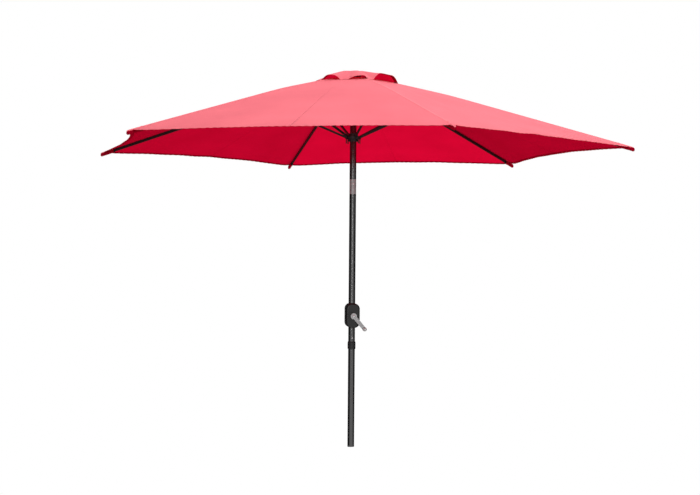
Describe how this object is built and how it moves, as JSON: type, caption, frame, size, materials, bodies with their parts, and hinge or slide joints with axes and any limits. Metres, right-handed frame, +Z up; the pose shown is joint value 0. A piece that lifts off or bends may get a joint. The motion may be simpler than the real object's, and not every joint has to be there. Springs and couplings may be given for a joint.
{
  "type": "patio umbrella",
  "caption": "Tilting crank patio umbrella: straight pole, folding ribs and struts, pointed cloth canopy with a vent cap, geared open and shut by a side crank.",
  "frame": {"origin": "centre of the pole's lower end", "axes": "+Z up the pole, -Y the side that the crank and the tilt button face, +X to the right of the crank"},
  "size_m": [2.8882, 3.0642, 2.1246],
  "materials": {
    "pole_paint": "gloss black powder coat",
    "rib_paint": "semi-gloss black paint",
    "black_plastic": "moulded black plastic",
    "gloss_black": "glossy moulded black plastic",
    "cast_grey": "die-cast, lightly polished",
    "steel": "bright zinc-plated steel",
    "cloth": "plain-woven red polyester",
    "cord": "braided black cord"
  },
  "bodies": {
    "pole": {"lower_pole": "pole_paint", "pole_end_plug": "black_plastic", "joint_insert": "steel", "snap_spring": "steel", "joint_collar": "black_plastic", "middle_pole": "pole_paint", "housing_front": "gloss_black", "housing_rear": "gloss_black", "housing_screws": "steel", "shaft_bushes": "black_plastic", "brake_spring": "steel", "tilt_lower": "cast_grey", "tilt_pins": "steel", "tilt_lug": "cast_grey", "lift_cord_lower": "cord"},
    "snap_button": {"snap_button": "steel"},
    "crank": {"crank_shaft": "steel", "cord_spool": "black_plastic", "crank_arm": "cast_grey", "crank_screw": "steel", "knob_pin": "steel"},
    "knob": {"crank_knob": "black_plastic"},
    "top": {"tilt_upper": "cast_grey", "tilt_spring": "steel", "upper_pole": "pole_paint", "pulley_pin": "steel", "top_hub": "black_plastic", "hub_pins": "steel", "hub_cap": "black_plastic", "vent_crown": "cloth", "lift_cord_upper": "cord", "lift_cord_fall": "cord"},
    "tilt_button": {"tilt_button": "cast_grey"},
    "pulley": {"pulley": "black_plastic"},
    "runner": {"runner": "black_plastic"},
    "rib_1": {"rib_1": "rib_paint", "rib_fittings_1": "rib_paint", "canopy_1": "cloth"},
    "strut_1": {"strut_1": "rib_paint"},
    "rib_2": {"rib_2": "rib_paint", "rib_fittings_2": "rib_paint", "canopy_2": "cloth"},
    "strut_2": {"strut_2": "rib_paint"},
    "rib_3": {"rib_3": "rib_paint", "rib_fittings_3": "rib_paint", "canopy_3": "cloth"},
    "strut_3": {"strut_3": "rib_paint"},
    "rib_4": {"rib_4": "rib_paint", "rib_fittings_4": "rib_paint", "canopy_4": "cloth"},
    "strut_4": {"strut_4": "rib_paint"},
    "rib_5": {"rib_5": "rib_paint", "rib_fittings_5": "rib_paint", "canopy_5": "cloth"},
    "strut_5": {"strut_5": "rib_paint"},
    "rib_6": {"rib_6": "rib_paint", "rib_fittings_6": "rib_paint", "canopy_6": "cloth"},
    "strut_6": {"strut_6": "rib_paint"}
  },
  "joints": [
    {"name": "snap_press", "type": "slide", "parent": "pole", "child": "snap_button", "axis": [0, 1, 0], "range_m": [0, 0.0028], "stiffness_N_per_m": 2500, "springref_m": -0.0015, "deforming": ["snap_spring"]},
    {"name": "canopy_tilt", "type": "hinge", "parent": "pole", "child": "top", "pos_m": [0, 0, 1.47005], "axis": [-1, 0, 0], "range_deg": [0, 30]},
    {"name": "tilt_press", "type": "slide", "parent": "top", "child": "tilt_button", "axis": [0, 1, 0], "range_m": [0, 0.0021], "stiffness_N_per_m": 2000, "springref_m": -0.0015, "deforming": ["tilt_spring"]},
    {"name": "runner_slide", "type": "slide", "parent": "top", "child": "runner", "axis": [0, 0, 1], "range_m": [-0.68297, 0], "deforming": ["lift_cord_fall", "canopy_1", "canopy_2", "canopy_3", "canopy_4", "canopy_5", "canopy_6"]},
    {"name": "crank_turn", "type": "hinge", "parent": "pole", "child": "crank", "pos_m": [0, 0, 0.744], "axis": [0, -1, 0], "range_deg": [-4323.93, 0]},
    {"name": "knob_spin", "type": "hinge", "parent": "crank", "child": "knob", "pos_m": [0.06222, -0.095, 0.67089], "axis": [0, -1, 0], "continuous": true},
    {"name": "pulley_turn", "type": "hinge", "parent": "top", "child": "pulley", "pos_m": [0, 0.01095, 2.05], "axis": [1, 0, 0], "range_deg": [-3207.51, 0]},
    {"name": "rib_fold_1", "type": "hinge", "parent": "top", "child": "rib_1", "pos_m": [0.02497, 0.02001, 2.092], "axis": [-0.6252, 0.7804, 0], "range_deg": [0, 70.41]},
    {"name": "strut_fold_1", "type": "hinge", "parent": "rib_1", "child": "strut_1", "pos_m": [0.40352, 0.32328, 1.95716], "axis": [-0.6252, 0.7804, 0], "range_deg": [-133.64, 0]},
    {"name": "rib_fold_2", "type": "hinge", "parent": "top", "child": "rib_2", "pos_m": [-0.00484, 0.03163, 2.092], "axis": [-0.9885, -0.1513, 0], "range_deg": [0, 70.41]},
    {"name": "strut_fold_2", "type": "hinge", "parent": "rib_2", "child": "strut_2", "pos_m": [-0.07821, 0.5111, 1.95716], "axis": [-0.9885, -0.1513, 0], "range_deg": [-133.64, 0]},
    {"name": "rib_fold_3", "type": "hinge", "parent": "top", "child": "rib_3", "pos_m": [-0.02981, 0.01162, 2.092], "axis": [-0.3633, -0.9317, 0], "range_deg": [0, 70.41]},
    {"name": "strut_fold_3", "type": "hinge", "parent": "rib_3", "child": "strut_3", "pos_m": [-0.48173, 0.18782, 1.95716], "axis": [-0.3633, -0.9317, 0], "range_deg": [-133.64, 0]},
    {"name": "rib_fold_4", "type": "hinge", "parent": "top", "child": "rib_4", "pos_m": [-0.02497, -0.02001, 2.092], "axis": [0.6252, -0.7804, 0], "range_deg": [0, 70.41]},
    {"name": "strut_fold_4", "type": "hinge", "parent": "rib_4", "child": "strut_4", "pos_m": [-0.40352, -0.32328, 1.95716], "axis": [0.6252, -0.7804, 0], "range_deg": [-133.64, 0]},
    {"name": "rib_fold_5", "type": "hinge", "parent": "top", "child": "rib_5", "pos_m": [0.00484, -0.03163, 2.092], "axis": [0.9885, 0.1513, 0], "range_deg": [0, 70.41]},
    {"name": "strut_fold_5", "type": "hinge", "parent": "rib_5", "child": "strut_5", "pos_m": [0.07821, -0.5111, 1.95716], "axis": [0.9885, 0.1513, 0], "range_deg": [-133.64, 0]},
    {"name": "rib_fold_6", "type": "hinge", "parent": "top", "child": "rib_6", "pos_m": [0.02981, -0.01162, 2.092], "axis": [0.3633, 0.9317, 0], "range_deg": [0, 70.41]},
    {"name": "strut_fold_6", "type": "hinge", "parent": "rib_6", "child": "strut_6", "pos_m": [0.48173, -0.18782, 1.95716], "axis": [0.3633, 0.9317, 0], "range_deg": [-133.64, 0]}
  ],
  "couplings": [
    {"joint": "crank_turn", "follows": "runner_slide", "rad_per_m": 110.5},
    {"joint": "pulley_turn", "follows": "runner_slide", "rad_per_m": 81.967},
    {"joint": "rib_fold_1", "follows": "runner_slide", "rad_per_m": -1.7991},
    {"joint": "strut_fold_1", "follows": "runner_slide", "rad_per_m": 3.415},
    {"joint": "rib_fold_2", "follows": "runner_slide", "rad_per_m": -1.7991},
    {"joint": "strut_fold_2", "follows": "runner_slide", "rad_per_m": 3.415},
    {"joint": "rib_fold_3", "follows": "runner_slide", "rad_per_m": -1.7991},
    {"joint": "strut_fold_3", "follows": "runner_slide", "rad_per_m": 3.415},
    {"joint": "rib_fold_4", "follows": "runner_slide", "rad_per_m": -1.7991},
    {"joint": "strut_fold_4", "follows": "runner_slide", "rad_per_m": 3.415},
    {"joint": "rib_fold_5", "follows": "runner_slide", "rad_per_m": -1.7991},
    {"joint": "strut_fold_5", "follows": "runner_slide", "rad_per_m": 3.415},
    {"joint": "rib_fold_6", "follows": "runner_slide", "rad_per_m": -1.7991},
    {"joint": "strut_fold_6", "follows": "runner_slide", "rad_per_m": 3.415}
  ]
}
